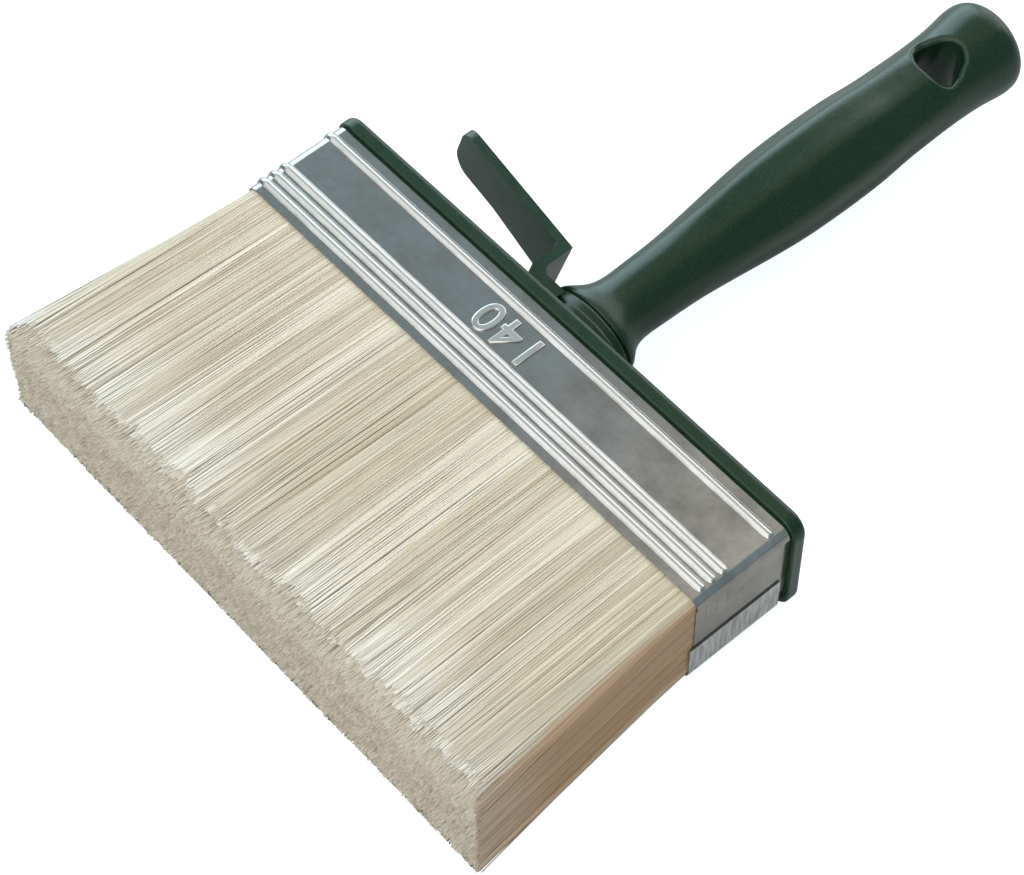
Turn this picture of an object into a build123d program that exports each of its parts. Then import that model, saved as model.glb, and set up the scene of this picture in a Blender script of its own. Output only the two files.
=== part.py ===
from build123d import *
from math import cos, pi, radians, sin, tan
import os

# Wide block brush for emulsion and paste work, lying flat on its broad side. Millimetres.
# X runs along the width of the block, +Y points to the end of the handle, +Z is up.
# The shapes are drawn with y = 0 at the joint between the ferrule and the block,
# and they are moved along Y when they are written, so that the origin is under the middle.

# --- Ferrule: a strip of tinplate, ribbed by rollers, wrapped round and lapped on the right end ---
ferrule_width = 141.0
ferrule_thickness = 28.2
ferrule_length = 25.7
ferrule_corner = 2.6
sheet = 0.3
rib_width = 2.1
rib_height = 0.55
rib_foot = 0.35
rib_pitch = 3.0
rib_count = 3
first_rib = 3.15
top_bead = 21.8
bead_stop = 0.3
pressed_rib_width = 1.5
pressed_rib_height = 0.22
pressed_rib_margin = 0.9
pressed_rib_length = 5.0
joggle_run = 0.3
lap_height = 11.2
lap_overlap = 5.5
lap_play = 0.08
lap_skew = 1.2
seat_depth = 0.5

# --- Block: one moulding with the flange, the plug, the boss, the spigot and the hook ---
flange_overhang = 1.0
flange_depth = 3.7
flange_corner = 4.6
flange_back_round = 1.4
flange_front_round = 0.4
seat_drop = 0.15
plug_depth = 10.0
plug_wall = 2.4
plug_rib = 2.0
plug_pockets = 7
plug_pocket_depth = 7.0
plinth_width = 27.0
plinth_height = 18.4
plinth_rise = 4.4
collar_width = 24.6
collar_height = 18.2
collar_rise = 2.0
boss_round = 0.8
spigot_diameter = 11.9
spigot_tip_diameter = 11.0
spigot_length = 38.0
spigot_chamfer = 1.0

# --- Hook: a tongue on a slanted neck, for hanging the brush on a rim ---
hook_height = 20.0
hook_plate = 2.1
neck_plate = 2.5
neck_foot = 4.0
neck_foot_cut = 3.2
neck_side = -13.7
neck_slant = 17.0
heel_reach = 13.4
arm_rise = 8.4
arm_reach = 53.2
arm_height = 16.8
arm_tip_height = 14.0
arm_level_from = 37.0
arm_tip_corner = 4.0
hook_inner_corner = 1.5
hook_web_reach = 7.5
hook_web_round = 2.4

# --- Handle: a moulded grip, oval at the foot, eight soft facets on the belly, round at the end ---
handle_end = 134.0
foot_width = 24.0
foot_height = 18.0
foot_round = 0.7
foot_rim = 1.3
throat_width = 18.2
throat_height = 16.3
throat_from_foot = 5.2
waist_diameter = 15.7
waist_at = 24.0
belly_diameter = 23.0
belly_from = 74.0
belly_to = 84.0
neck_diameter = 21.1
neck_from = 103.0
neck_to = 118.0
end_diameter = 23.0
end_corner = 4.6
end_crown_rise = 0.5
end_flat = 7.0
stations_between = [1, 2, 1, 5, 1, 3, 1, 2]
dome_angles = [20, 40, 58, 74]
facets = 8
facet_depth = 0.055
facet_from = 30.0
facet_full_from = 55.0
facet_full_to = 95.0
facet_to = 122.0
core_length = 42.0
core_play = 0.15

# --- Hanging hole: egg-shaped, with a soft rim, through the end of the handle ---
hole_near = 108.8
hole_length = 10.7
hole_width = 10.5
hole_base_corner = 4.3
hole_tip_corner = 4.1
hole_rim = 1.2
hole_turn = 9.0

# --- Bristle pack: three rows set in resin, kept apart by two filler strips ---
row_count = 3
bristle_length = 62.8
tip_width = 150.0
tip_corner = 3.0
tip_round = 1.2
row_gap = 0.3
root_depth = 4.5
setting_depth = 6.0
strip_thickness = 3.4
strip_inset = 5.0
strip_below_mouth = 1.0
void_reach = 34.0
pack_play = 0.15
fit_play = 0.1

# How near an edge lies to an end for it to be counted as part of that end.
end_margin = 0.01

# --- Values that follow from the ones above ---
flange_width = ferrule_width + 2 * flange_overhang
flange_thickness = ferrule_thickness + 2 * flange_overhang
mid_z = flange_thickness / 2
bristle_tips = ferrule_length + bristle_length
joint_y = (bristle_tips - handle_end) / 2
lap_depth = sheet + lap_play
inner_width = ferrule_width - 2 * (sheet + lap_depth)
inner_thickness = ferrule_thickness - 2 * sheet
inner_corner = ferrule_corner - sheet
flange_middle = flange_depth / 2
plinth_top = flange_depth + plinth_rise
boss_top = plinth_top + collar_rise
dome_from = handle_end - end_crown_rise - end_corner
heel_y = flange_depth + heel_reach
setting_end = plug_depth + setting_depth
roots = setting_end - root_depth
hook_top = mid_z + hook_height / 2
hook_low = mid_z - hook_height / 2

UP = Vector(0, 0, 1)
RIGHT = Vector(1, 0, 0)
ALONG = Vector(0, 1, 0)


def across(y):
    """A drawing plane square to the brush's length, x to the right and z up."""
    return Plane(origin=(0, y, mid_z), x_dir=(1, 0, 0), z_dir=(0, -1, 0))


def rounded_plate(width, thickness, corner, start, end):
    """A rounded rectangle, extruded along Y from start to end."""
    outline = across(start) * RectangleRounded(width, thickness, corner)
    return extrude(outline, amount=end - start, dir=(0, 1, 0))


def oval_plate(width, height, start, end):
    """An ellipse, extruded along Y from start to end."""
    outline = across(start) * Ellipse(width / 2, height / 2)
    return extrude(outline, amount=end - start, dir=(0, 1, 0))


def end_edges(shape, y):
    """The edges of a shape that lie in the plane at y."""
    return shape.edges().filter_by_position(Axis.Y, y - end_margin, y + end_margin)


# ---------------------------------------------------------------- ferrule


def sheet_line(level, beads):
    """The run of one face of the sheet from the mouth to the block, with its raised beads."""
    here = (level, -ferrule_length)
    edges = []
    for middle in beads:
        foot = (level, middle - rib_width / 2)
        crown = (level + rib_height, middle)
        far_foot = (level, middle + rib_width / 2)
        edges.append(Line(here, foot))
        edges.append(ThreePointArc(foot, crown, far_foot))
        here = far_foot
    edges.append(Line(here, (level, -seat_depth)))
    return edges


def sheet_section(beads):
    """The section of the strip, x outwards and y along the brush, its outside at x = 0."""
    outside = sheet_line(0, beads)
    inside = sheet_line(-sheet, beads)
    mouth = Line((0, -ferrule_length), (-sheet, -ferrule_length))
    block_end = Line((0, -seat_depth), (-sheet, -seat_depth))
    face = make_face(outside + inside + [mouth, block_end])
    if not beads:
        return face
    feet = face.vertices().filter_by_position(Axis.Y, -ferrule_length + end_margin, -seat_depth - end_margin)
    return fillet(feet, rib_foot)


def on_wall(x, z, outward, shift=0.0):
    """The plane of the section at a point of the ferrule's outline, facing along the strip."""
    return Plane(origin=(x, shift, z), x_dir=outward, z_dir=outward.cross(ALONG))


def run(section, x, z, outward, travel, shift=0.0):
    """A straight stretch of the strip, carried by the vector travel."""
    face = on_wall(x, z, outward, shift) * section
    return extrude(face, amount=travel.length, dir=travel)


def turn(section, x, z, outward, shift=0.0):
    """A quarter turn of the strip round the corner centred at x, z."""
    face = on_wall(x + ferrule_corner * outward.X, z + ferrule_corner * outward.Z, outward, shift) * section
    return revolve(face, axis=Axis((x, 0, z), (0, -1, 0)), revolution_arc=90)


def bead_end(x, y, z, outward):
    """The rounded end that closes a hollow bead at x, y on a broad wall."""
    radius = (rib_height**2 + (rib_width / 2) ** 2) / (2 * rib_height)
    ball = Pos(x, y, z + outward * (rib_height - radius)) * Sphere(radius)
    room = Pos(x, y, z + outward * (rib_height - sheet) / 2) * Box(rib_width, rib_width, rib_height + sheet)
    return ball & room


def pressed_rib(x, y, low, high):
    """What is left of a rib where it was pressed flat for the lap: a low ridge on the end wall."""
    half = pressed_rib_width / 2
    radius = (pressed_rib_height**2 + half**2) / (2 * pressed_rib_height)
    axis_x = x + pressed_rib_height - radius
    middle = (low + high) / 2
    length = high - low - 2 * half
    ridge = Pos(axis_x, y, middle) * Cylinder(radius, length)
    for end in (middle - length / 2, middle + length / 2):
        ridge = ridge + Pos(axis_x, y, end) * Sphere(radius)
    reach = pressed_rib_height + sheet / 2
    room = Box(reach, pressed_rib_width, high - low)
    return ridge & (Pos(x + pressed_rib_height - reach / 2, y, middle) * room)


def ferrule():
    """The strip, followed from its hidden end on the right, over the top and round to the lap."""
    ribs = [first_rib + i * rib_pitch - ferrule_length for i in range(rib_count)]
    beads = ribs + [top_bead - ferrule_length]
    ribbed = sheet_section(beads)
    plain = sheet_section([])
    side = ferrule_width / 2
    corner_x = side - ferrule_corner
    stop_x = corner_x - bead_stop
    top = mid_z + ferrule_thickness / 2
    bottom = mid_z - ferrule_thickness / 2
    upper = top - ferrule_corner
    lower = bottom + ferrule_corner
    joggle_end = upper - joggle_run
    lap_edge = bottom + lap_height
    hidden_end = lap_edge - lap_overlap
    sunk = side - lap_depth
    ribbed_skew = Vector(0, -lap_skew, 0)
    strip = [
        run(plain, sunk, hidden_end, RIGHT, UP * (joggle_end - hidden_end)),
        run(plain, sunk, joggle_end, RIGHT, UP * joggle_run + RIGHT * lap_depth),
        turn(plain, corner_x, upper, RIGHT),
        run(plain, corner_x, top, UP, RIGHT * -bead_stop),
        run(ribbed, stop_x, top, UP, RIGHT * (-corner_x - stop_x)),
        turn(ribbed, -corner_x, upper, UP),
        run(ribbed, -side, upper, RIGHT * -1, UP * (lower - upper)),
        turn(ribbed, -corner_x, lower, RIGHT * -1),
        run(ribbed, -corner_x, bottom, UP * -1, RIGHT * (corner_x + stop_x) + ribbed_skew),
        run(plain, stop_x, bottom, UP * -1, RIGHT * bead_stop, -lap_skew),
        turn(plain, corner_x, lower, UP * -1, -lap_skew),
        run(plain, side, lower, RIGHT, UP * (lap_edge - lower), -lap_skew),
    ]
    for y in beads:
        strip.append(bead_end(stop_x, y, top, 1))
        strip.append(bead_end(stop_x, y - lap_skew, bottom, -1))
    ridge_top = joggle_end - pressed_rib_margin
    for y in ribs:
        strip.append(pressed_rib(sunk, y, ridge_top - pressed_rib_length, ridge_top))
        strip.append(pressed_rib(side, y - lap_skew, lower, lap_edge - pressed_rib_margin))
    return strip[0] + strip[1:]


# ---------------------------------------------------------------- block


def flange():
    """The rim of the block, proud of the ferrule all round, with a soft back edge."""
    plate = rounded_plate(flange_width, flange_thickness, flange_corner, 0, flange_depth)
    plate = fillet(end_edges(plate, flange_depth), flange_back_round)
    return fillet(end_edges(plate, 0), flange_front_round)


def plug():
    """The part of the block inside the ferrule, cored from the bristle side between ribs."""
    width = inner_width - 2 * fit_play
    height = inner_thickness - 2 * fit_play
    body = rounded_plate(width, height, inner_corner - fit_play, -plug_depth, 0)
    pitch = (width - plug_wall * 2 + plug_rib) / plug_pockets
    pocket = Box(pitch - plug_rib, plug_pocket_depth, height - 2 * plug_wall)
    for i in range(plug_pockets):
        x = (i - (plug_pockets - 1) / 2) * pitch
        body = body - Pos(x, -plug_depth + plug_pocket_depth / 2, mid_z) * pocket
    seat_width = ferrule_width - 2 * seat_drop
    seat_height = ferrule_thickness - 2 * seat_drop
    return body + rounded_plate(seat_width, seat_height, ferrule_corner - seat_drop, -seat_depth, 0)


def boss():
    """The oval mound under the handle, the ring that the foot sits on, and the spigot."""
    plinth = oval_plate(plinth_width, plinth_height, flange_middle, plinth_top)
    plinth = fillet(end_edges(plinth, plinth_top), boss_round)
    collar = oval_plate(collar_width, collar_height, plinth_top - boss_round, boss_top)
    collar = fillet(end_edges(collar, boss_top), boss_round)
    far = boss_top + spigot_length
    root_face = across(boss_top - boss_round) * Circle(spigot_diameter / 2)
    tip_face = across(far) * Circle(spigot_tip_diameter / 2)
    spigot = loft([root_face, tip_face])
    spigot = chamfer(end_edges(spigot, far), spigot_chamfer)
    return plinth + collar + spigot


def hook_plan():
    """The hook seen from above at its top face: the web, the neck, the heel and the arm."""
    slope = tan(radians(arm_rise))
    far_x = -arm_reach - hook_plate
    inner_drop = hook_plate / cos(radians(arm_rise))
    inner_x = neck_side - neck_plate
    far_y = heel_y + (neck_side - far_x) * slope
    inner_corner = (inner_x, heel_y + neck_plate * slope - inner_drop)
    web_corner = (neck_side, plinth_top)
    outline = Polyline(
        (neck_side + hook_web_reach, flange_middle),
        (neck_side + hook_web_reach, plinth_top),
        web_corner,
        (neck_side, heel_y),
        (far_x, far_y),
        (far_x, far_y - inner_drop),
        inner_corner,
        (inner_x, flange_depth + neck_foot),
        (inner_x + neck_foot_cut, flange_middle),
        close=True,
    )
    face = make_face(outline)
    face = fillet(face.vertices().sort_by_distance(Vector(*inner_corner))[0], hook_inner_corner)
    return fillet(face.vertices().sort_by_distance(Vector(*web_corner))[0], hook_web_round)


def hook_side():
    """The hook seen along the brush: a deep neck and a lower arm with a rounded free end."""
    slope = tan(radians(neck_slant))
    right = neck_side + 2 * hook_web_reach
    upright_outline = [
        (-arm_reach, hook_top),
        (-arm_reach, hook_top - arm_tip_height),
        (-arm_level_from, hook_top - arm_tip_height),
        (neck_side - neck_plate, hook_top - arm_height),
        (neck_side, hook_low),
        (right, hook_low),
        (right, hook_top),
    ]
    leaning = [(x - slope * (hook_top - z), z - mid_z) for x, z in upright_outline]
    face = make_face(Polyline(*leaning, close=True))
    return fillet(face.vertices().sort_by(Axis.X)[:2], arm_tip_corner)


def hook():
    """The tongue, its neck and the web at its root, all leaning with depth."""
    lean = Vector(-tan(radians(neck_slant)), 0, -1) * hook_height
    plate = extrude(Pos(0, 0, hook_top) * hook_plan(), amount=lean.length, dir=lean)
    outline = extrude(across(0) * hook_side(), amount=2 * heel_y, dir=(0, 1, 0))
    return plate & outline


def block():
    """The whole moulding."""
    return flange() + plug() + boss() + hook()


# ---------------------------------------------------------------- handle


def ease(start, end, share):
    """A value that leaves start and reaches end without a kink."""
    return start + (end - start) * (1 - cos(pi * share)) / 2


def facet_strength(y):
    """How strongly the facets show at y: none at the waist, full on the belly, none at the end."""
    if y < facet_full_from:
        share = (y - facet_from) / (facet_full_from - facet_from)
    else:
        share = (facet_to - y) / (facet_to - facet_full_to)
    return ease(0, facet_depth, min(max(share, 0), 1))


def grip_section(y, width, height):
    """One section of the grip: an oval whose radius dips between the ridges of the facets."""
    points = []
    steps = 4 * facets
    for i in range(steps):
        angle = 2 * pi * i / steps
        dip = facet_strength(y) * (1 + cos(facets * angle)) / 2
        x = width / 2 * (1 - dip) * cos(angle)
        z = height / 2 * (1 - dip) * sin(angle)
        points.append((x, z))
    return across(y) * make_face(Spline(points, periodic=True))


def grip_stations():
    """The places along the grip with their width and height, eased between the named ones."""
    throat_at = boss_top + throat_from_foot
    named = [
        (boss_top, foot_width, foot_height),
        (boss_top + foot_rim, foot_width, foot_height),
        (throat_at, throat_width, throat_height),
        (waist_at, waist_diameter, waist_diameter),
        (belly_from, belly_diameter, belly_diameter),
        (belly_to, belly_diameter, belly_diameter),
        (neck_from, neck_diameter, neck_diameter),
        (neck_to, neck_diameter, neck_diameter),
        (dome_from, end_diameter, end_diameter),
    ]
    stations = [named[0]]
    for start, end, count in zip(named, named[1:], stations_between):
        for i in range(1, count + 1):
            share = i / count
            y = start[0] + (end[0] - start[0]) * share
            stations.append((y, ease(start[1], end[1], share), ease(start[2], end[2], share)))
    return stations


def end_dome():
    """The rounded end of the grip, from the widest place to the nearly flat crown."""
    rim = end_diameter - 2 * end_corner
    stations = []
    for angle in dome_angles:
        width = rim + 2 * end_corner * cos(radians(angle))
        stations.append((dome_from + end_corner * sin(radians(angle)), width, width))
    stations.append((handle_end, end_flat, end_flat))
    return stations


def hole_outline():
    """The egg-shaped outline of the hanging hole, its blunt end towards the block."""
    base_x = hole_width / 2 - hole_base_corner
    base_y = hole_near + hole_base_corner
    tip_y = hole_near + hole_length - hole_tip_corner
    corners = [
        Pos(-base_x, base_y) * Circle(hole_base_corner),
        Pos(base_x, base_y) * Circle(hole_base_corner),
        Pos(0, tip_y) * Circle(hole_tip_corner),
    ]
    return make_hull([corner.edge() for corner in corners])


def hanging_hole(grip):
    """The grip with the hole through its end, turned about the grip's axis, with soft lips."""
    shaft = extrude(hole_outline(), amount=flange_thickness)
    pierced = grip - shaft.rotate(Axis((0, 0, mid_z), (0, 1, 0)), hole_turn)
    lips = pierced.edges().filter_by_position(
        Axis.Y, hole_near - end_margin, hole_near + hole_length + end_margin
    )
    return fillet(lips.filter_by(lambda lip: lip.length < hole_width), hole_rim)


def handle():
    """The grip with its foot, its core for the spigot and its hanging hole."""
    grip = loft([grip_section(*station) for station in grip_stations() + end_dome()])
    grip = fillet(end_edges(grip, boss_top), foot_round)
    core_far = boss_top + core_length
    wide = across(boss_top) * Circle(spigot_diameter / 2 + core_play)
    narrow = across(core_far) * Circle(spigot_tip_diameter / 2 + core_play)
    return hanging_hole(grip) - loft([wide, narrow])


# ---------------------------------------------------------------- bristle pack


def parting_heights(index):
    """The heights of the parting between two rows, at the roots and at the cut ends."""
    place = index - (row_count - 2) / 2
    at_root = mid_z + place * inner_thickness / row_count
    at_tips = mid_z + place * flange_thickness / row_count
    return at_root, at_tips


def bristle_pack():
    """All the bristles as one fanned body, from the roots to the cut ends."""
    width = inner_width - 2 * pack_play
    thickness = inner_thickness - 2 * pack_play
    corner = inner_corner - pack_play
    straight = rounded_plate(width, thickness, corner, -ferrule_length, -roots)
    mouth = across(-ferrule_length) * RectangleRounded(width, thickness, corner)
    ends = across(-bristle_tips) * RectangleRounded(tip_width, flange_thickness, tip_corner)
    fan = loft([mouth, ends])
    fan = fillet(end_edges(fan, -bristle_tips), tip_round)
    return straight + fan


def lengthwise_slab(profile, width):
    """A profile drawn in y and z, carried across the brush to the given width."""
    plane = Plane(origin=(-width / 2, 0, 0), x_dir=(0, 1, 0), z_dir=(1, 0, 0))
    return extrude(plane * make_face(Polyline(*profile, close=True)), amount=width)


def row_parting(index):
    """A slit between two rows, opened round the filler strip to the wedge that holds the paint."""
    root_z, tip_z = parting_heights(index)
    half = row_gap / 2
    strip_half = strip_thickness / 2 + fit_play
    slope = (tip_z - root_z) / bristle_length
    closed_z = root_z + slope * void_reach
    slit = [
        (-roots, root_z - half),
        (-roots, root_z + half),
        (-ferrule_length, root_z + half),
        (-bristle_tips, tip_z + half),
        (-bristle_tips, tip_z - half),
        (-ferrule_length, root_z - half),
    ]
    wedge = [
        (-roots, root_z - strip_half),
        (-roots, root_z + strip_half),
        (-ferrule_length, root_z + strip_half),
        (-ferrule_length - void_reach, closed_z),
        (-ferrule_length, root_z - strip_half),
    ]
    strip_room = inner_width - 2 * strip_inset + 2 * fit_play
    return lengthwise_slab(slit, 2 * tip_width) + lengthwise_slab(wedge, strip_room)


def bristle_rows():
    """The separate rows, from the bottom up."""
    pack = bristle_pack()
    for i in range(row_count - 1):
        pack = pack - row_parting(i)
    return pack.solids().sort_by(Axis.Z)


def filler_strip(index):
    """One strip between two rows, its foot in the resin and its top just inside the mouth."""
    far = ferrule_length - strip_below_mouth
    width = inner_width - 2 * strip_inset
    strip = Box(width, far - roots, strip_thickness)
    return Pos(0, -(roots + far) / 2, parting_heights(index)[0]) * strip


def setting(rows, strips):
    """The resin in the root of the ferrule, with the rows and the strips standing in it."""
    width = inner_width - 2 * fit_play
    thickness = inner_thickness - 2 * fit_play
    slab = rounded_plate(width, thickness, inner_corner - fit_play, -setting_end, -plug_depth)
    for standing in list(rows) + strips:
        slab = slab - standing
    return slab.solids().sort_by(SortBy.VOLUME)[-1]


# ---------------------------------------------------------------- assembly


def main():
    rows = bristle_rows()
    strips = [filler_strip(i) for i in range(row_count - 1)]
    parts = {
        "handle": handle(),
        "block": block(),
        "ferrule": ferrule(),
        "resin_setting": setting(rows, strips),
    }
    for place, strip in zip(("bottom", "top"), strips):
        parts["filler_strip_" + place] = strip
    for place, row in zip(("bottom", "middle", "top"), rows):
        parts["bristle_row_" + place] = row
    os.makedirs("parts", exist_ok=True)
    for name, shape in parts.items():
        placed = Pos(0, joint_y, 0) * shape
        export_step(placed, "parts/" + name + ".step")
        print(name, round(placed.volume, 1), placed.bounding_box().size)


main()
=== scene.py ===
# %% [markdown]
# # A wide block brush, dressed for its portrait
# The brush is a plastic block with a grip pushed over its spigot, a ribbed tinplate ferrule
# and a thick pack of synthetic bristle. The hard parts come from the CAD frame as they are and
# get their finishes here. The bristle is modelled here, filament by filament.

# %% Load the frame
import math

import bpy
import numpy as np
from mathutils import Matrix, Vector


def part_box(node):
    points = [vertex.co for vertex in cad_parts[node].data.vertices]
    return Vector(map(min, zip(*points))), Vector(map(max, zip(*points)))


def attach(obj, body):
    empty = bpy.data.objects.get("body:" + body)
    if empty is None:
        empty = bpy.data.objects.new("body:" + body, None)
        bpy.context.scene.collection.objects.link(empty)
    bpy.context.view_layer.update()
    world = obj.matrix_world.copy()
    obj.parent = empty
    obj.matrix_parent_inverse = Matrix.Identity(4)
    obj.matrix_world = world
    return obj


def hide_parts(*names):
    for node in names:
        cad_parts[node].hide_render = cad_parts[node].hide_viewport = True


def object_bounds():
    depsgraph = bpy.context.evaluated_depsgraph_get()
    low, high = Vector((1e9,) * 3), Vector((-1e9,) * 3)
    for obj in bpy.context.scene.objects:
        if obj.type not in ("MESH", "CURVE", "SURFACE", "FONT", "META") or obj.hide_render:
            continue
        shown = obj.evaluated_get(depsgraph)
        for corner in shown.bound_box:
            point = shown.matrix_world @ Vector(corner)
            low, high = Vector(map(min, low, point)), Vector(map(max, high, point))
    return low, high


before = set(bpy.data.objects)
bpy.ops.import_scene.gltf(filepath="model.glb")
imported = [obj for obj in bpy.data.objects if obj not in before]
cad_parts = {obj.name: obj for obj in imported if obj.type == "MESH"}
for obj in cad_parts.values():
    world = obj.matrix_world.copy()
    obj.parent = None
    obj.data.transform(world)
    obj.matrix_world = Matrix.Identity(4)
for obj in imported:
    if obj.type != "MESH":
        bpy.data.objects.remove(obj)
cad_low, cad_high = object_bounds()
MM = 0.001
print("CAD box in mm:", [round(v / MM, 1) for v in cad_low], [round(v / MM, 1) for v in cad_high])

# %% [markdown]
# ## Where things are
# Places are read from the frame, so that the looks follow the parts. The mouth of the
# ferrule and the cut ends of the bristle are the two planes that the filaments run between.
# A box can't tell the flat of the tin from its ribs, nor where the lap ends, so these two
# are given as heights from the middle of the brush.

# %% Places read from the frame
ferrule_low, ferrule_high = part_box("ferrule")
block_low, block_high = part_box("block")
pack_low, pack_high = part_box("bristle_row_top")
mid_z = (block_low.z + block_high.z) / 2
flat_height = 14.1 * MM
lap_drop = 2.9 * MM
ferrule_top = mid_z + flat_height
lap_edge = mid_z - lap_drop
rows = ["bristle_row_bottom", "bristle_row_middle", "bristle_row_top"]
print("ferrule from y", round(ferrule_low.y / MM, 2), "to", round(ferrule_high.y / MM, 2))

# %% [markdown]
# ## Camera
# A long lens looks down at the brush from over its right front corner. Its direction is
# given as two angles, and a slight roll as a third, which is easier to read than a matrix.

# %% Camera
azimuth = math.radians(48.77)
elevation = math.radians(56.17)
roll = math.radians(-0.28)
lens_mm = 112.02
aim = Vector((1.65 * MM, ferrule_high.y - 13.39 * MM, 0))
distance = 683.3 * MM

back = Vector(
    (
        math.sin(azimuth) * math.cos(elevation),
        -math.cos(azimuth) * math.cos(elevation),
        math.sin(elevation),
    )
)
level = Vector((0, 0, 1)).cross(back).normalized()
upright = back.cross(level)
right = level * math.cos(roll) + upright * math.sin(roll)
up = upright * math.cos(roll) - level * math.sin(roll)
camera_data = bpy.data.cameras.new("portrait_camera")
camera_data.lens = lens_mm
camera_data.sensor_width = 36
camera_data.clip_end = 20
camera = bpy.data.objects.new("portrait_camera", camera_data)
direction = Matrix((right, up, back)).transposed().to_4x4()
camera.matrix_world = Matrix.Translation(aim + back * distance) @ direction
bpy.context.scene.collection.objects.link(camera)
bpy.context.scene.camera = camera
print("camera at", [round(v, 3) for v in camera.location])


# %% [markdown]
# ## Helpers for materials
# Colours are written as the hex codes that a picker shows and are turned into linear light
# here. One function adds a node with its settings and its links.

# %% Material helpers
def linear(code):
    """The linear colour of an sRGB hex code such as #20382b."""
    parts = [int(code[i : i + 2], 16) / 255 for i in (1, 3, 5)]
    light = [c / 12.92 if c <= 0.04045 else ((c + 0.055) / 1.055) ** 2.4 for c in parts]
    return (*light, 1.0)


def add(tree, kind, links=None, **settings):
    """Adds a node. Settings name its properties or inputs, links give a source for each input."""
    node = tree.nodes.new(kind)
    for name, value in settings.items():
        if hasattr(node, name):
            setattr(node, name, value)
        else:
            node.inputs[name.replace("_", " ")].default_value = value
    for name, source in (links or {}).items():
        tree.links.new(source, node.inputs[name])
    return node


def new_material(name, **sockets):
    """A material with one Principled shader, whose plain values sit on its own sockets."""
    material = bpy.data.materials.new(name)
    material.use_nodes = True
    shader = material.node_tree.nodes["Principled BSDF"]
    for socket, value in sockets.items():
        shader.inputs[socket.replace("_", " ")].default_value = value
    return material, material.node_tree, shader


def dress(node, material):
    """Gives every slot of a CAD node one material."""
    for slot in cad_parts[node].material_slots:
        slot.material = material


print("#808080 is", round(linear("#808080")[0], 3), "in linear light")

# %% [markdown]
# ## Moulded polypropylene
# The grip and the block are injection moulded in dark green. The steel of the mould is
# etched with a fine grain, which spreads the highlight and makes it sparkle a little. Two
# sizes of noise do this: a fine one for the grain, and a broad one for the uneven gloss
# that handling leaves. An image texture of a grain could do it too, but noise needs no
# file and never repeats. A real grain is too fine to show from here, so it is drawn about
# half a millimetre wide.

# %% Moulded green polypropylene
polypropylene, tree, shader = new_material("moulded_green_polypropylene", IOR=1.49, Specular_IOR_Level=0.4)
place = add(tree, "ShaderNodeTexCoord").outputs["Object"]
grain = add(tree, "ShaderNodeTexNoise", {"Vector": place}, Scale=1 / (0.45 * MM), Detail=2.0)
gloss = add(tree, "ShaderNodeTexNoise", {"Vector": place}, Scale=1 / (9 * MM), Detail=3.0)
tint = add(tree, "ShaderNodeValToRGB", {"Fac": grain.outputs["Fac"]})
tint.color_ramp.elements[0].position = 0.3
tint.color_ramp.elements[0].color = linear("#0b2215")
tint.color_ramp.elements[1].position = 0.7
tint.color_ramp.elements[1].color = linear("#15371f")
rough = add(
    tree,
    "ShaderNodeMapRange",
    {"Value": gloss.outputs["Fac"]},
    From_Min=0.3,
    From_Max=0.7,
    To_Min=0.26,
    To_Max=0.34,
)
etch = add(tree, "ShaderNodeBump", {"Height": grain.outputs["Fac"]}, Strength=0.35, Distance=0.06 * MM)
tree.links.new(tint.outputs["Color"], shader.inputs["Base Color"])
tree.links.new(rough.outputs["Result"], shader.inputs["Roughness"])
tree.links.new(etch.outputs["Normal"], shader.inputs["Normal"])
for name in ("handle", "block"):
    dress(name, polypropylene)
print(polypropylene.name, "on the handle and the block")

# %% [markdown]
# ## Rolled tinplate
# The ferrule is steel sheet with a coat of tin. It comes out of the mill with faint lines
# along the strip and with soft cloudy stains, so the colour and the roughness drift from
# one centimetre to the next. An image texture of rolled metal would need the strip
# unwrapped. A noise that is stretched a hundredfold along the strip doesn't. Real lines are
# too fine to show, so they are drawn a third of a millimetre apart.

# %% Rolled tinplate
tinplate, tree, shader = new_material("rolled_tinplate", Metallic=1.0)
place = add(tree, "ShaderNodeTexCoord").outputs["Object"]
cloud = add(tree, "ShaderNodeTexNoise", {"Vector": place}, Scale=1 / (9 * MM), Detail=7.0, Roughness=0.68)
stain = add(tree, "ShaderNodeValToRGB", {"Fac": cloud.outputs["Fac"]})
stain.color_ramp.elements[0].position = 0.35
stain.color_ramp.elements[0].color = linear("#9c9a96")
stain.color_ramp.elements[1].position = 0.68
stain.color_ramp.elements[1].color = linear("#c6c6c4")
flat_rough = add(
    tree,
    "ShaderNodeMapRange",
    {"Value": cloud.outputs["Fac"]},
    From_Min=0.3,
    From_Max=0.7,
    To_Min=0.25,
    To_Max=0.15,
)
stretch = add(tree, "ShaderNodeMapping", {"Vector": place})
stretch.inputs["Scale"].default_value = (0.01, 1.0, 1.0)
lines = add(
    tree,
    "ShaderNodeTexNoise",
    {"Vector": stretch.outputs["Vector"]},
    Scale=1 / (0.35 * MM),
    Detail=2.0,
)
mill = add(tree, "ShaderNodeBump", {"Height": lines.outputs["Fac"]}, Strength=0.08, Distance=0.01 * MM)
tree.links.new(mill.outputs["Normal"], shader.inputs["Normal"])
print(tinplate.name, "with", len(tree.nodes), "nodes so far")

# %% [markdown]
# Pressing the ribs stretches the tin, so whatever stands higher than the flat of the strip
# is rougher and shines more broadly. A painted mask could mark the ribs, but how far a point
# is from the middle of the brush tells a rib from the flat without one.

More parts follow.
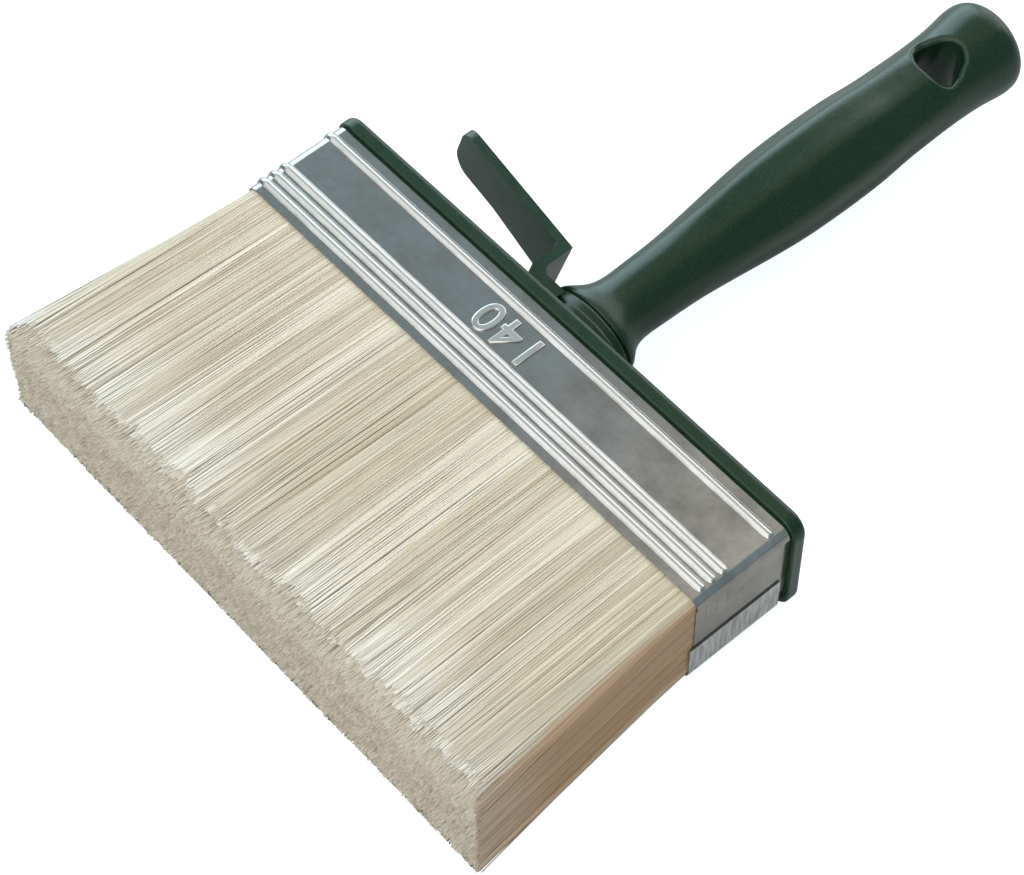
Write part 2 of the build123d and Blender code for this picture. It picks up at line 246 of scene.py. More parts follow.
# %% Stretched ribs
rib_foot, rib_shoulder = 0.05 * MM, 0.4 * MM
rib_roughness = 0.13
split = add(tree, "ShaderNodeSeparateXYZ", {"Vector": place})
above_middle = add(tree, "ShaderNodeMath", {0: split.outputs["Z"]}, operation="SUBTRACT")
above_middle.inputs[1].default_value = mid_z
from_middle = add(tree, "ShaderNodeMath", {0: above_middle.outputs[0]}, operation="ABSOLUTE")
raised = add(
    tree,
    "ShaderNodeMapRange",
    {"Value": from_middle.outputs[0]},
    From_Min=flat_height + rib_foot,
    From_Max=flat_height + rib_shoulder,
)
rough = add(
    tree,
    "ShaderNodeMath",
    {0: raised.outputs["Result"], 2: flat_rough.outputs["Result"]},
    operation="MULTIPLY_ADD",
)
rough.inputs[1].default_value = rib_roughness
tree.links.new(rough.outputs[0], shader.inputs["Roughness"])
print("ribs start", round((flat_height + rib_foot) / MM, 2), "mm from the middle")

# %% [markdown]
# On the narrow side where the strip laps, the upper layer is painted brown, a painted
# reflection of a warm floor. The lower one is painted lighter, a painted reflection too,
# with short upright streaks of painted highlight where the ends of the ribs were pressed
# flat. The side is found by its x, and the two layers by their height. The streaks are a
# noise that is stretched upwards.

# %% Lapped side
wall_start, wall_full = 0.9 * MM, 0.6 * MM
lap_blur = 0.2 * MM
end_wall = add(
    tree,
    "ShaderNodeMapRange",
    {"Value": split.outputs["X"]},
    From_Min=ferrule_high.x - wall_start,
    From_Max=ferrule_high.x - wall_full,
    To_Max=0.45,
)
lower_layer = add(
    tree,
    "ShaderNodeMapRange",
    {"Value": split.outputs["Z"]},
    From_Min=lap_edge + lap_blur,
    From_Max=lap_edge - lap_blur,
)
painted_streak_way = add(tree, "ShaderNodeMapping", {"Vector": place})
painted_streak_way.inputs["Scale"].default_value = (1.0, 1.0, 0.12)
painted_streak_noise = add(
    tree,
    "ShaderNodeTexNoise",
    {"Vector": painted_streak_way.outputs["Vector"]},
    Scale=1 / (0.7 * MM),
    Detail=3.0,
)
# painted highlight: light upright streaks stand in for the light that the flattened rib ends catch
painted_highlight_streaks = add(tree, "ShaderNodeValToRGB", {"Fac": painted_streak_noise.outputs["Fac"]})
painted_highlight_streaks.color_ramp.elements[0].position = 0.36
painted_highlight_streaks.color_ramp.elements[0].color = linear("#a4a4a4")
painted_highlight_streaks.color_ramp.elements[1].position = 0.64
painted_highlight_streaks.color_ramp.elements[1].color = linear("#ffffff")
# painted reflection: brown above the lap and lighter below stand in for the floor mirrored in the side
painted_lap_reflection = add(
    tree,
    "ShaderNodeMixRGB",
    {"Fac": lower_layer.outputs["Result"], "Color2": painted_highlight_streaks.outputs["Color"]},
    Color1=linear("#7b6a58"),
)
print("the lap's edge is at z", round(lap_edge / MM, 1), "mm")

# %% [markdown]
# The colours are laid over each other: first the stained strip, then the painted reflections
# of the lapped side, and last the lighter, warmer tint of the ribs, a painted highlight.

# %% Tin on the ferrule
flat_tin = add(
    tree,
    "ShaderNodeMixRGB",
    {"Fac": end_wall.outputs["Result"], "Color1": stain.outputs["Color"], "Color2": painted_lap_reflection.outputs["Color"]},
)
# painted highlight: the ribs are tinted lighter and warmer than the flat, for the light they catch
tin = add(
    tree,
    "ShaderNodeMixRGB",
    {"Fac": raised.outputs["Result"], "Color1": flat_tin.outputs["Color"]},
    Color2=linear("#c2c0bd"),
)
tree.links.new(tin.outputs["Color"], shader.inputs["Base Color"])
dress("ferrule", tinplate)
print(tinplate.name, "with", len(tree.nodes), "nodes on the ferrule")

# %% [markdown]
# ## The pressed size number
# The width of the brush in millimetres stands on the tin as a raised number. A text object
# gives its outline, an extrusion with a round bevel gives it the soft shoulders of a
# stamping, and it is turned into a mesh before it is put in its place. A bump in the
# material could fake it, but casts no shadow. The number is turned half round, so that it
# reads from the handle's side.

# %% Pressed size number
capital_share = 0.7  # how much of a font's size its figures fill
number_height = 7.8 * MM
number_spot = Vector((-3.2 * MM, ferrule_high.y - 9.5 * MM, ferrule_top))
bpy.ops.object.select_all(action="DESELECT")
bpy.ops.object.text_add(location=(0, 0, 0))
size_number = bpy.context.object
size_number.name = "pressed_size_number"
size_number.data.body = "140"
size_number.data.align_x = "CENTER"
size_number.data.align_y = "CENTER"
size_number.data.size = number_height / capital_share
size_number.data.space_character = 1.12
size_number.data.resolution_u = 6
size_number.data.offset = -0.05 * MM
size_number.data.extrude = 0.04 * MM
size_number.data.bevel_depth = 0.36 * MM
size_number.data.bevel_resolution = 4
bpy.ops.object.convert(target="MESH")
bpy.ops.object.transform_apply()
size_number.location = number_spot
size_number.rotation_euler = (0, 0, math.pi)
bpy.ops.object.transform_apply()
bpy.ops.object.shade_smooth_by_angle(angle=math.radians(50))
size_number.data.materials.clear()
size_number.data.materials.append(tinplate)
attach(size_number, "root")
print("size number:", [round(v / MM, 2) for v in size_number.dimensions], "mm")
print("size number:", len(size_number.data.polygons), "faces")

# %% [markdown]
# ## Resin and wood
# Both are hidden in the finished brush. They are dressed all the same, because the part can
# be opened: clear amber epoxy, poured in and left to harden smooth, and strips of sawn beech
# with dull, long fibres. The fibres are a noise that is stretched twentyfold along the strip.

# %% Poured epoxy and sawn beech
setting_resin, tree, shader = new_material("poured_epoxy", Base_Color=linear("#6b4a22"), Roughness=0.25)
dress("resin_setting", setting_resin)
beech, tree, shader = new_material("sawn_beech", Roughness=0.65)
place = add(tree, "ShaderNodeTexCoord").outputs["Object"]
fibre_way = add(tree, "ShaderNodeMapping", {"Vector": place})
fibre_way.inputs["Scale"].default_value = (0.05, 1.0, 1.0)
fibre = add(
    tree,
    "ShaderNodeTexNoise",
    {"Vector": fibre_way.outputs["Vector"]},
    Scale=1 / (0.8 * MM),
    Detail=4.0,
)
wood = add(tree, "ShaderNodeValToRGB", {"Fac": fibre.outputs["Fac"]})
wood.color_ramp.elements[0].color = linear("#a17a4e")
wood.color_ramp.elements[1].color = linear("#cdaa7b")
tree.links.new(wood.outputs["Color"], shader.inputs["Base Color"])
for name in ("filler_strip_bottom", "filler_strip_top"):
    dress(name, beech)
print(setting_resin.name, "and", beech.name, "inside the ferrule")

# %% [markdown]
# ## Synthetic filament
# A filament is a tapered thread of cream polyester, and neighbours differ a little in shade.
# A random shade for each object would need thousands of objects, so each filament's colour
# is read from its own place in the UV map. Across the map lie four families of shades, each
# from its darkest to its palest: the clean filaments of the broad sides, also painted light
# near the upper edge of the cut end; those whose flagged tips turn white, which also paint
# light on the left end; the cut end seen from the front; and the right narrow side, painted
# browner as painted warm reflected light and shade. Up the map runs the way from the ferrule
# to the tip, and the last third of it turns whiter, by each family's own whiteness: flagged
# ends whiten, and on the clean and narrow families it is painted light that lifts the tips
# where the clumps shade them.

# %% Synthetic filament
bristle, tree, shader = new_material("tapered_polyester_filament", Roughness=0.55)
families = {
    "clean_or_top_lit": ("#beb298", "#d2c6ae", "#dbd0bb", "#eae2d1"),
    "flagged_or_left_lit": ("#c8bca5", "#d6cab4", "#e0d6c2", "#eee6d7"),
    "cut": ("#b1a592", "#cdc2b1", "#dad0c1", "#ece5d9"),
    # the narrow shades are painted warm reflected light and shade of the right side
    "narrow": ("#ae8f70", "#c29f7d", "#cbaa8a", "#dabf9f"),
}
# whiter tips: real flagged ends for the flagged family; for clean and narrow, painted light that lifts tips
# which the clumps shade
whiteness = (0.3, 1.0, 0.0, 0.3)
clean_or_top_lit, flagged_or_left_lit, cut, narrow = range(len(families))
map_uv = add(tree, "ShaderNodeUVMap", uv_map="OFBake").outputs["UV"]
split = add(tree, "ShaderNodeSeparateXYZ", {"Vector": map_uv})
shades = add(tree, "ShaderNodeValToRGB", {"Fac": split.outputs["X"]})
whitening = add(tree, "ShaderNodeValToRGB", {"Fac": split.outputs["X"]})
whitening.color_ramp.interpolation = "CONSTANT"
for order, (codes, white) in enumerate(zip(families.values(), whiteness)):
    for step, code in enumerate(codes):
        position = (order + step / len(codes) + 0.1) / len(families)
        shades.color_ramp.elements.new(position).color = linear(code)
    whitening.color_ramp.elements.new(order / len(families)).color = (white, white, white, 1)
toward_tip = add(
    tree,
    "ShaderNodeMapRange",
    {"Value": split.outputs["Y"]},
    From_Min=0.6,
    From_Max=0.94,
    To_Max=0.68,
)
amount = add(
    tree,
    "ShaderNodeMath",
    {0: toward_tip.outputs["Result"], 1: whitening.outputs["Color"]},
    operation="MULTIPLY",
)
pale = add(
    tree,
    "ShaderNodeMixRGB",
    {"Fac": amount.outputs[0], "Color1": shades.outputs["Color"]},
    Color2=linear("#fbfaf4"),
)
tree.links.new(pale.outputs["Color"], shader.inputs["Base Color"])
print(bristle.name, "in the shades", list(families))

# %% [markdown]
# ## The bristle pack
# Many thousands of filaments show on such a brush, and no two lie quite alike. Each one
# leaves the ferrule, fans out to the cut end, and leans with its neighbours into a clump.
# Blender's hair curves could draw them, but the part has to leave Blender as plain meshes,
# and nobody would model so many by hand. So their paths are worked out as arrays: first
# where each filament stands, then how it bends, then its thin tube. The shell of the pack
# is five filaments deep, and a plain core under it stops the light. The random numbers
# start from a fixed seed, so every run grows the same brush.

# %% Sizes of the bristle pack
rng = np.random.default_rng(140)
mouth_y = ferrule_low.y
tip_y = pack_low.y
half_tip = np.array([pack_high.x, cad_high.z - mid_z])  # half of the cut end
half_mouth = np.array([69.7, 13.65]) * MM  # half of the space inside the ferrule's mouth
filament = 0.34 * MM  # thickness of one thread
print("free bristle", round((mouth_y - tip_y) / MM, 1), "mm long")
print("cut end", (2 * half_tip / MM).round(1), "mm, mouth", (2 * half_mouth / MM).round(1), "mm")


# %% [markdown]
# A filament's place is its point on the cut end, measured from the middle of the pack, and
# its root is its point in the mouth of the ferrule. The shell follows the outside of the
# pack in a few layers, side by side and round each corner. The upper corners are well
# rounded, because nothing holds the bristle there. The lower ones lie on the table, and the
# mouth has the tight bends of the tin, so both are sharper.

# %% Places round the pack
shell_pitch = 0.24 * MM  # from thread to thread round the pack
shell_jitter = 0.3  # shares of the pitch that a thread may stand off its even place
layer_gap = 0.20 * MM
shell_layers = 5
corner_round = 5.0 * MM
tight_corner = 1.8 * MM
print("shell of", shell_layers, "layers,", round(shell_layers * layer_gap / MM, 1), "mm deep")


def outline_points(inset, pitch):
    """Points round the cut end at an inset, where each stands in the mouth, and its way out."""
    half = half_tip - inset
    straight = 2 * (half - corner_round)
    quarter = corner_round * math.pi / 2
    around = 2 * straight.sum() + 4 * quarter
    along = np.arange(0, around, pitch)
    along = along + rng.uniform(-shell_jitter, shell_jitter, len(along)) * pitch
    places, outward = [], []
    corner_x, corner_z = half - corner_round
    sides = [(1, 0, straight[1]), (0, 1, straight[0]), (-1, 0, straight[1]), (0, -1, straight[0])]
    here = 0.0
    for turn, (nx, nz, length) in enumerate(sides):
        tx, tz = -nz, nx
        on_side = along[(along >= here) & (along < here + length)] - here - length / 2
        places.append(np.outer(on_side, (tx, tz)) + half * (nx, nz))
        outward.append(np.tile((nx, nz), (len(on_side), 1)))
        here += length
        angle = (along[(along >= here) & (along < here + quarter)] - here) / corner_round + turn * math.pi / 2
        ring = np.stack([np.cos(angle), np.sin(angle)], axis=1)
        centre = np.array([corner_x * (nx - nz), corner_z * (nx + nz)])
        places.append(centre + ring * corner_round)
        outward.append(ring)
        here += quarter
    places, outward = np.concatenate(places), np.concatenate(outward)
    core = np.clip(places / (half - corner_round), -1, 1) * (half - tight_corner)
    tight = core + outward * tight_corner
    return np.where(places[:, 1:] < 0, tight, places), tight * half_mouth / half_tip, outward


# %% [markdown]
# Behind the cut end only the last few millimetres of each filament can be seen, so the
# inside of the pack gets short ones. They stand on a grid whose points are shaken, which
# looks less even than a grid and leaves no holes, as pure chance would.

# %% Places inside the pack
tip_pitch = 0.37 * MM
tip_jitter = 0.45
print("one short end for each", round((tip_pitch / MM) ** 2, 2), "square mm")


def inner_points():
    """Jittered points over the cut end, inside the shell."""
    half = half_tip - shell_layers * layer_gap
    across = np.arange(-half[0], half[0], tip_pitch)
    upward = np.arange(-half[1], half[1], tip_pitch)
    grid = np.stack(np.meshgrid(across, upward), axis=-1).reshape(-1, 2)
    grid = grid + rng.uniform(-tip_jitter, tip_jitter, grid.shape) * tip_pitch
    round_here = np.where(grid[:, 1:] < 0, tight_corner, corner_round)
    beyond = np.maximum(np.abs(grid) - (half_tip - round_here), 0)
    return grid[np.hypot(beyond[:, 0], beyond[:, 1]) < round_here[:, 0] - shell_layers * layer_gap]


# %% [markdown]
# Bristle hangs together in clumps. So the filaments along a side are sorted into clumps of
# random width, and each of them learns how far it stands from the middle of its own.

# %% Clumps
clump_widths = (6 * MM, 15 * MM)
strand_widths = (1.0 * MM, 3.5 * MM)
print("about", round(2 * half_tip[0] / (sum(clump_widths) / 2)), "clumps across a broad side")


def clumps(position, low, high):
    """Sorts positions into clumps of random width: each one's centre, half width and number."""
    widths = rng.uniform(low, high, int(2 * np.ptp(position) / low) + 2)
    bounds = position.min() - low + np.concatenate([[0], np.cumsum(widths)])
    number = np.searchsorted(bounds, position) - 1
    return (bounds[number] + bounds[number + 1]) / 2, widths[number] / 2, number


# %% [markdown]
# Each filament gets its own end: a pull towards its clump, a dip where two clumps part, a
# lean of its own and a slightly different length. The clumps come in two sizes, broad ones
# and fine strands within them. These sizes say how much each clump, each strand and each
# single thread may differ from the next.

# %% How much the filaments differ
drawn = 400  # values drawn for each trait of the clumps
clump_pull, strand_pull = 0.05, 0.24  # shares of the way to the middle of the clump
strand_lean, thread_lean, stray_lean = 0.45 * MM, 0.22 * MM, 1.5 * MM
stray_share = 0.03
clump_dip, strand_dip, thread_dip = 0.35 * MM, 0.16 * MM, 0.05 * MM
clump_cut, strand_cut, thread_cut = 2.0 * MM, 1.7 * MM, 0.6 * MM
clump_tone, strand_tone, thread_tone = 0.09, 0.08, 0.12
# deeper layers are painted paler: painted light that lifts the shade in the gaps between the threads
middle_tone, painted_deep_light = 0.45, 0.06
thread_bow = 0.2 * MM
flagged_clumps, flagged_threads = 0.4, 0.85
print("a clump pulls in by up to", round(clump_pull * clump_widths[1] / 2 / MM, 2), "mm")

# %% [markdown]
# The trimmer leaves the cut end slightly wavy and its edges round, the upper one more than
# the lower, so the filaments near an edge are shorter. At the left and right ends of the
# pack nothing holds the filaments in, so the outermost ones lean outwards.

# %% Trimmed edges and open ends
upper_round, upper_share = 4.5 * MM, 0.8
lower_round, lower_share = 2.5 * MM, 0.85
splay_left, splay_right = 1.3 * MM, 0.5 * MM
splay_power = 6  # the higher, the fewer filaments lean outwards
waves = [
    (rng.uniform(9, 30) * MM, rng.uniform(0, 2 * math.pi), rng.uniform(0.02, 0.08) * MM)
    for _ in range(6)
]
print("waves of", [round(2 * math.pi * wave[0] / MM) for wave in waves], "mm along the cut end")


def rounding(depth, radius):
    """How far a rounded edge falls back at a depth under its side."""
    share = 1 - np.clip(depth / radius, 0, 1)
    return radius * (1 - np.sqrt(1 - share**2))


def end_setback(places):
    """How much shorter a filament is for its place, by both rounded edges and by slow waves."""
    x, z = places.T
    slow = sum(size * (1 + np.sin(x / length + phase)) for length, phase, size in waves)
    upper = upper_share * rounding(half_tip[1] - z, upper_round)
    lower = lower_share * rounding(half_tip[1] + z, lower_round)
    return slow + upper + lower


def flare(places):
    """How far a filament leans out of the pack at its left or right end, where nothing holds it."""
    share = places[:, 0] / half_tip[0]
    most = np.where(share < 0, -splay_left, splay_right)
    outer = most * np.clip(np.abs(share), 0, 1) ** splay_power
    return np.stack([outer, np.zeros(len(places))], axis=1)


# %% [markdown]
# With these sizes the filaments can be drawn. A set of filaments is a dictionary of arrays:
# where each one stands, which way is out, how it leans and bows, how short it is, and its
# shade. First come the long ones of the shell. Their clumps are found along the outline.

# %% Filaments of the shell
side_cut, more_above = 0.55, 0.45  # how unevenly the narrow sides are cut, and how much more above
print("the lower side is cut", round(side_cut - more_above, 2), "times as unevenly as the upper")


def per_clump(number, values):
    """Hands each filament the value that was drawn for its clump."""
    return values[number % len(values)]


def shell_layer(layer):
    """One layer of full-length filaments round the pack."""
    places, roots, outward = outline_points(layer * layer_gap + filament / 2, shell_pitch)
    count = len(places)
    tangent = np.stack([-outward[:, 1], outward[:, 0]], axis=1)
    along = (places * tangent).sum(axis=1)
    side = np.sign(outward[:, 1] + 2 * outward[:, 0])
    apart = along + side * 0.5  # half a metre keeps the clumps of two sides apart
    centre, half, clump = clumps(apart, *clump_widths)
    offset = (apart - centre) / half
    strand_centre, strand_half, strand = clumps(along, *strand_widths)
    strand_offset = (along - strand_centre) / strand_half

    lean = per_clump(clump, rng.uniform(0, clump_pull, drawn)) * -offset * half
    lean = lean + per_clump(strand, rng.uniform(0, strand_pull, drawn)) * -strand_offset * strand_half
    lean = lean + rng.normal(0, thread_lean, count)
    lean = lean + rng.normal(0, stray_lean, count) * (rng.random(count) < stray_share)
    lean = lean + per_clump(strand, rng.normal(0, strand_lean, drawn))
    dip = clump_dip * np.abs(offset) ** 3 + per_clump(strand, rng.uniform(0, strand_dip, drawn))
    dip = dip + np.abs(rng.normal(0, thread_dip, count))

    shorter = per_clump(clump, rng.uniform(0, clump_cut, drawn))
    shorter = shorter + per_clump(strand, rng.uniform(0, strand_cut, drawn))
    shorter = shorter + np.abs(rng.normal(0, thread_cut, count))
    shorter = shorter * (side_cut + more_above * outward[:, 1])
    shade = per_clump(clump, rng.normal(0, clump_tone, drawn))
    shade = shade + per_clump(strand, rng.normal(0, strand_tone, drawn))
    shade = shade + rng.normal(0, thread_tone, count) + middle_tone + painted_deep_light * layer
    white = per_clump(clump, rng.random(drawn) < flagged_clumps)
    white = white & (rng.random(count) < flagged_threads)
    # the left end takes the whiter flagged shades as painted light, for the light it catches from the left
    family = np.where(white | (outward[:, 0] < -0.5), flagged_or_left_lit, clean_or_top_lit)
    return {
        "place": places,
        "root": roots,
        "facing": np.insert(outward, 1, 0, axis=1),
        "shift": flare(places) + tangent * lean[:, None] - outward * dip[:, None],
        "bow": tangent * rng.normal(0, thread_bow, count)[:, None],
        "setback": end_setback(places) + shorter,
        "shade": shade,
        # the right side gets the browner narrow shades: painted warm reflected light and shade
        "family": np.where(outward[:, 0] > rng.uniform(0.25, 0.95, count), narrow, family),
    }


# %% [markdown]
# Inside the shell only the cut ends show. They gather in small tufts, and those near the
# upper edge are painted paler than the rest: painted light, as the rounded edge faces the lamps.

# %% Short ends inside the pack
tuft = 1.7 * MM
tuft_pull, tuft_height, tuft_tone = 0.25, 0.7 * MM, 0.1
tip_lean, tip_height, tip_tone = 0.25 * MM, 0.35 * MM, 0.18
# how deep under the upper edge the painted light on the cut ends reaches, how much of it, and how much paler
top_light_depth, top_light_share, top_light_tone = 9 * MM, 1.15, 0.25
print("about", round(4 * half_tip.prod() / tuft**2), "tufts in the cut end")


def tip_filaments():
    """The short ends inside the pack, which the cut end shows."""
    places = inner_points()
    count = len(places)
    cell = np.floor(places / tuft).astype(int)
    local = places / tuft - cell
    column, row = (cell - cell.min(axis=0)).T
    cells = column.max() + 1, row.max() + 1
    target = rng.uniform(0.2, 0.8, (*cells, 2))[column, row]
    shorter = rng.uniform(0, tuft_height, cells)[column, row]
    tone = rng.normal(0, tuft_tone, cells)[column, row]
    depth = half_tip[1] - places[:, 1]
    # painted light: tips near the rounded upper edge are painted paler, as lit from above
    painted_top_light = rng.random(count) < top_light_share - depth / top_light_depth
    return {
        "place": places,
        "root": places * half_mouth / half_tip,
        "facing": np.tile((0, -1, 0), (count, 1)),
        "shift": flare(places) + (target - local) * tuft * tuft_pull + rng.normal(0, tip_lean, (count, 2)),
        "bow": np.zeros((count, 2)),
        "setback": end_setback(places) + shorter + np.abs(rng.normal(0, tip_height, count)),
        "shade": tone + rng.normal(0, tip_tone, count) + middle_tone + top_light_tone * painted_top_light,
        "family": np.where(painted_top_light, clean_or_top_lit, cut),
    }


# %% [markdown]
# Thousands of tiny round threads would glitter, while real bristle lies so close that it
# shines like one soft surface. So the normals are set one by one: each keeps some of its
# thread's own roundness and turns the rest of the way towards the outside of the pack, the
# more so the higher the softness. A face that looks inwards keeps its own.

# %% Soft normals
softness = 1.5
onset = 1.7  # how fast a face softens as it turns away from the inside
print("a face is fully soft up to", round(math.degrees(math.acos(1 / onset - 1))), "degrees off the outside")


def thread_normals(around, facing, segments):
    """The normals of the tubes, softened towards the outside, and those of their cut ends."""
    agree = np.clip(onset + onset * (around * facing[:, None]).sum(axis=-1, keepdims=True), 0, 1)
    soft = around + facing[:, None] * agree * softness
    on_tubes = np.broadcast_to(soft[:, None], (len(facing), segments + 1, 3, 3)).reshape(-1, 3)
    return np.concatenate([on_tubes, np.tile((0, -1, 0), (len(facing) * 3, 1))])


# %% [markdown]
# A thread's colour is its place in the UV map. Each family of shades has a band of lanes
# across the map, from dark to light, and a thread lies in the middle of one lane.

# %% Lanes of colour
lanes = 32
print(len(families) * lanes, "lanes across the map")


def thread_uvs(threads, free, segments):
    """The UVs of the tubes and of their cut ends: a lane of shade across, the free length up."""
    lane = (np.clip(threads["shade"], 0, 0.999) * lanes).astype(int) + threads["family"] * lanes
    left = (lane + 0.2) / (len(families) * lanes)
    right = (lane + 0.8) / (len(families) * lanes)
    up = free * 0.98
    low, high = up[:, :-1, None], up[:, 1:, None]
    u = np.stack([left, right, right, left], axis=-1)[:, None, None]
    v = np.stack([low, low, high, high], axis=-1)
    quad_uv = np.stack(np.broadcast_arrays(u, v), axis=-1)
    quad_uv = np.broadcast_to(quad_uv, (len(lane), segments, 3, 4, 2)).reshape(-1, 2)
    cap_u = np.stack([left, right, (left + right) / 2], axis=-1)
    cap_v = np.tile((0.985, 0.985, 0.999), (len(lane), 1))
    return quad_uv, np.stack([cap_u, cap_v], axis=-1).reshape(-1, 2)


# %% [markdown]
# A tube has three sides, which is enough for a thread a third of a millimetre thick, and it
# thins towards its flagged end. Its points stop at the table, so that no filament dips into
# it. The cut end of a thread has its own three points, so that its flat face can look
# straight forwards.

# %% Tubes of the filaments
taper, taper_power = 0.45, 4
bend_power = 1.6  # the higher, the nearer to its tip a filament bends
print("a thread thins from", filament / MM, "to", round(filament * (1 - taper) / MM, 2), "mm")


def tubes(threads, start_y, segments):
    """Vertices, faces, UVs and normals of a set of filaments that start at start_y."""
    count = len(threads["place"])
    end_y = tip_y + threads["setback"]
    y = start_y + (end_y - start_y)[:, None] * np.linspace(0, 1, segments + 1)
    free = np.clip((mouth_y - y) / (mouth_y - tip_y), 0, 1)
    along = free[..., None]
    line = threads["root"][:, None] * (1 - along) + threads["place"][:, None] * along
    line = line + threads["shift"][:, None] * along**bend_power
    line = line + threads["bow"][:, None] * np.sin(math.pi * along)
    radius = filament / 2 * (1 - taper * free**taper_power)
    turn = rng.uniform(0, 2 * math.pi, count)[:, None] + np.arange(3) * 2 * math.pi / 3
    ring = np.stack([np.cos(turn), np.sin(turn)], axis=-1)
    points = line[:, :, None] + ring[:, None] * radius[..., None, None]
    x, z = points[..., 0], np.maximum(points[..., 1] + mid_z, cad_low.z)
    rings = np.stack([x, np.broadcast_to(y[..., None], x.shape), z], axis=-1)
    vertices = np.concatenate([rings.reshape(-1, 3), rings[:, -1].reshape(-1, 3)])
    normals = thread_normals(np.insert(ring, 1, 0, axis=-1), threads["facing"], segments)

    base = (np.arange(count) * (segments + 1) * 3)[:, None, None, None]
    step = (np.arange(segments) * 3)[None, :, None, None]
    corner = np.array([[i, (i + 1) % 3, (i + 1) % 3 + 3, i + 3] for i in range(3)])[None, None]
    quads = (base + step + corner).reshape(-1, 4)
    caps = rings.size // 3 + np.arange(count * 3).reshape(-1, 3)
    return vertices, quads, caps, *thread_uvs(threads, free, segments), normals


def pick(threads, chosen):
    """The filaments of a set for which chosen is true."""
    return {name: values[chosen] for name, values in threads.items()}


# %% [markdown]
# Each row also gets a plain body under its threads, in one quiet shade. It starts a little
# way inside the mouth, as the filaments do, and ends where the short ones start.

# %% Plain core of a row
inside_mouth = 3 * MM
core_inset = 2.1 * MM
tip_stub = 7 * MM  # length of the short ends
core_uv = [(0.12, 0.1), (0.125, 0.1), (0.125, 0.4), (0.12, 0.4)]
print("core", round((mouth_y + inside_mouth - tip_y - tip_stub) / MM, 1), "mm long")


def core_box(low_z, high_z):
    """A plain body under the shell of one row, so that no light shows through the pack."""
    ends = []
    for y in (mouth_y + inside_mouth, mouth_y, tip_y + tip_stub):
        free = min(max((mouth_y - y) / (mouth_y - tip_y), 0), 1)
        fan = (half_mouth / half_tip) * (1 - free) + free
        half = (half_tip[0] - core_inset) * fan[0]
        low = max(low_z, -half_tip[1] + core_inset) * fan[1] + mid_z
        high = min(high_z, half_tip[1] - core_inset) * fan[1] + mid_z
        ends.append([(-half, y, low), (half, y, low), (half, y, high), (-half, y, high)])
    vertices = np.array(ends).reshape(-1, 3)
    walls = [(a + i, a + (i + 1) % 4, a + 4 + (i + 1) % 4, a + 4 + i) for a in (0, 4) for i in range(4)]
    quads = np.array(walls + [(3, 2, 1, 0), (8, 9, 10, 11)])
    no_caps, no_cap_uv = np.zeros((0, 3), int), np.zeros((0, 2))
    own_normals = np.zeros((len(vertices), 3))
    return vertices, quads, no_caps, np.tile(core_uv, (len(quads), 1)), no_cap_uv, own_normals


# %% [markdown]
# The core and the threads of a row become one mesh. It is built straight from the arrays,
# with the soft normals and the UV map that the colours are read from.

# %% One mesh for a row
def row_piece(node, parts):
    """Joins the bodies of one row into a mesh that stands in for its CAD node."""
    vertices, quads, caps, quad_uv, cap_uv, normals = zip(*parts)
    starts = np.cumsum([0] + [len(points) for points in vertices])
    faces = []
    for group in (quads, caps):
        for corners, start in zip(group, starts):
            faces += (corners + start).tolist()
    mesh = bpy.data.meshes.new(node + "_filaments")
    mesh.from_pydata(np.concatenate(vertices).tolist(), [], faces)
    uv_map = mesh.uv_layers.new(name="OFBake")
    uv_map.data.foreach_set("uv", np.concatenate(quad_uv + cap_uv).ravel())
    mesh.polygons.foreach_set("use_smooth", np.ones(len(mesh.polygons), dtype=bool))
    mesh.normals_split_custom_set_from_vertices(np.concatenate(normals).tolist())
    piece = bpy.data.objects.new(node + "_filaments", mesh)
    bpy.context.scene.collection.objects.link(piece)
    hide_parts(node)
    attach(piece, "root")
    return piece


# %% [markdown]
# The pack is cut by height into three rows, as the filler strips part it in the ferrule. A
# filament belongs to the row that its tip lies in. The long ones bend in five steps, and the
# short ones are straight.

# %% Grow the three rows
long_start, short_start = mouth_y + inside_mouth, tip_y + tip_stub
sets = [(shell_layer(i), long_start, 5) for i in range(shell_layers)]
sets.append((tip_filaments(), short_start, 1))
edges_z = np.linspace(-half_tip[1], half_tip[1], len(rows) + 1)
for node, low_z, high_z in zip(rows, edges_z, edges_z[1:]):
    parts = [core_box(low_z, high_z)]
    filaments = 0
    for threads, start_y, segments in sets:
        height = threads["place"][:, 1]
        in_row = (height >= low_z) & (height < high_z)
        parts.append(tubes(pick(threads, in_row), start_y, segments))
        filaments += int(in_row.sum())
    piece = row_piece(node, parts)
    piece.data.materials.append(bristle)
    triangles = sum(len(face.vertices) - 2 for face in piece.data.polygons)
    print(node, filaments, "filaments,", triangles, "triangles")

# %% [markdown]
# ## Floor and light
# The brush lies on a light table, so its ground is white and its shadow nearly goes. A table
# as bright as that would wash out the flanks of the brush. So the Light Path node gives its
# glow two strengths: full where it is looked at, and faint where it lights other things.

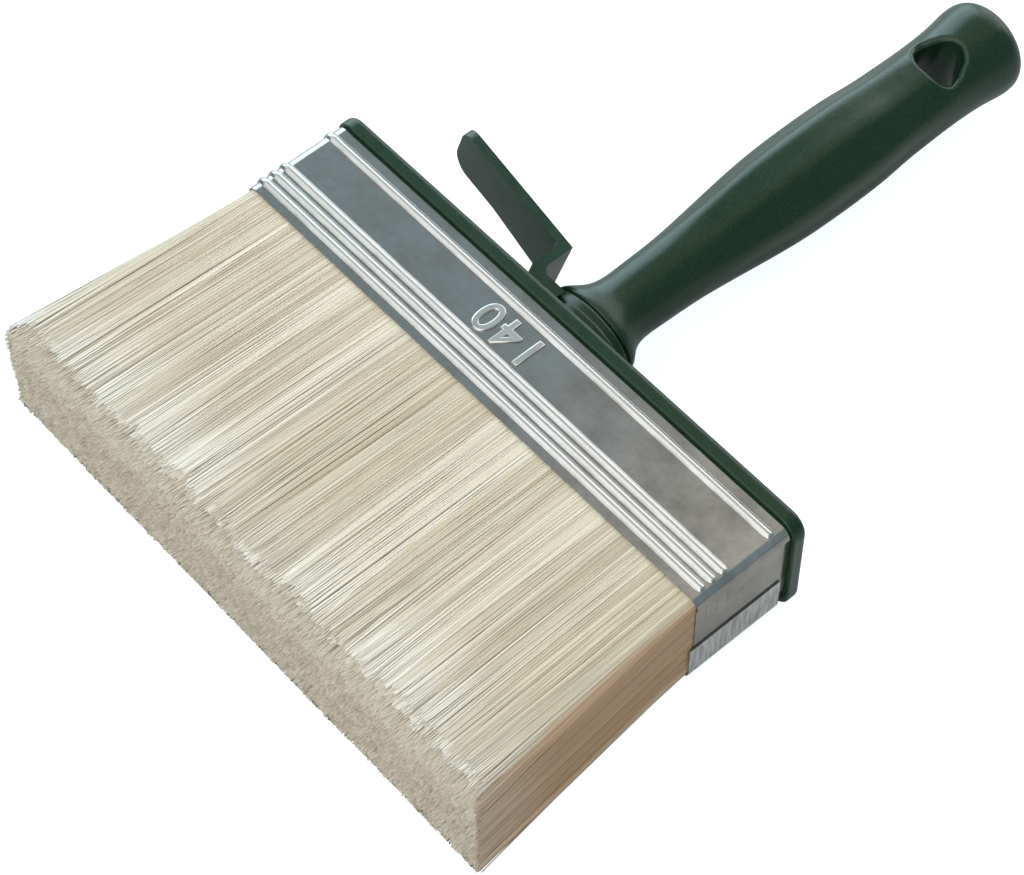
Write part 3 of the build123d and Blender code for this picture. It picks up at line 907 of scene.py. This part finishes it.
# %% Floor
bpy.ops.mesh.primitive_plane_add(size=12, location=(0, 0, cad_low.z - 0.1 * MM))
floor = bpy.context.object
floor.name = "studio_floor"
light_table, tree, shader = new_material(
    "white_light_table", Base_Color=linear("#b2b2b2"), Roughness=0.9, Emission_Color=(0.9, 0.97, 1.0, 1)
)
seen = add(tree, "ShaderNodeLightPath").outputs["Is Camera Ray"]
glow = add(tree, "ShaderNodeMapRange", {"Value": seen}, To_Min=0.16, To_Max=0.9)
tree.links.new(glow.outputs["Result"], shader.inputs["Emission Strength"])
floor.data.materials.append(light_table)
print(floor.name, "at z", round(floor.location.z / MM, 1), "mm")


# %% [markdown]
# The light is that of a small product table. A wide, slightly warm softbox hangs over the
# front, and a second one stands low behind the brush. The flat tin mirrors the gap between
# the two and stays grey, while its ribs catch both. A strong cool softbox on the left draws
# the long highlight on the grip. A weak orange one overhead and a warm fill from the right
# front make the right end of the tin and the narrow side of the bristle warmer.

# %% Lights
lamp_distance = 1.6


def softbox(name, towards, size, radiance, colour=(1, 1, 1)):
    """A square soft light that shines on the brush from a direction, as bright as asked."""
    light = bpy.data.lights.new(name, "AREA")
    light.shape = "SQUARE"
    light.size = size
    light.energy = radiance * math.pi * size**2
    light.color = colour
    lamp = bpy.data.objects.new(name, light)
    lamp.location = Vector(towards).normalized() * lamp_distance
    lamp.rotation_euler = Vector(towards).to_track_quat("Z", "Y").to_euler()
    bpy.context.scene.collection.objects.link(lamp)


softbox("front_overhead", (-0.08, -0.52, 0.80), size=2.0, radiance=1.5, colour=(1.0, 0.97, 0.93))
softbox("back", (-0.20, 0.88, 0.38), size=1.4, radiance=1.8)
softbox("left_side", (-0.9, 0.36, 0.28), size=1.5, radiance=3.5, colour=(0.72, 0.92, 1.0))
softbox("back_overhead", (-0.05, 0.40, 0.91), size=1.1, radiance=0.36, colour=(1.0, 0.70, 0.45))
softbox("right_front_fill", (0.40, -0.88, 0.3), size=1.4, radiance=1.5, colour=(1.0, 0.94, 0.87))
world = bpy.data.worlds.new("studio_room")
world.use_nodes = True
room_light = world.node_tree.nodes["Background"]
room_light.inputs["Color"].default_value = (0.72, 0.91, 1.0, 1)
room_light.inputs["Strength"].default_value = 0.38
bpy.context.scene.world = world
bpy.context.scene.view_settings.view_transform = "Standard"
print("softboxes:", [light.name for light in bpy.data.lights])
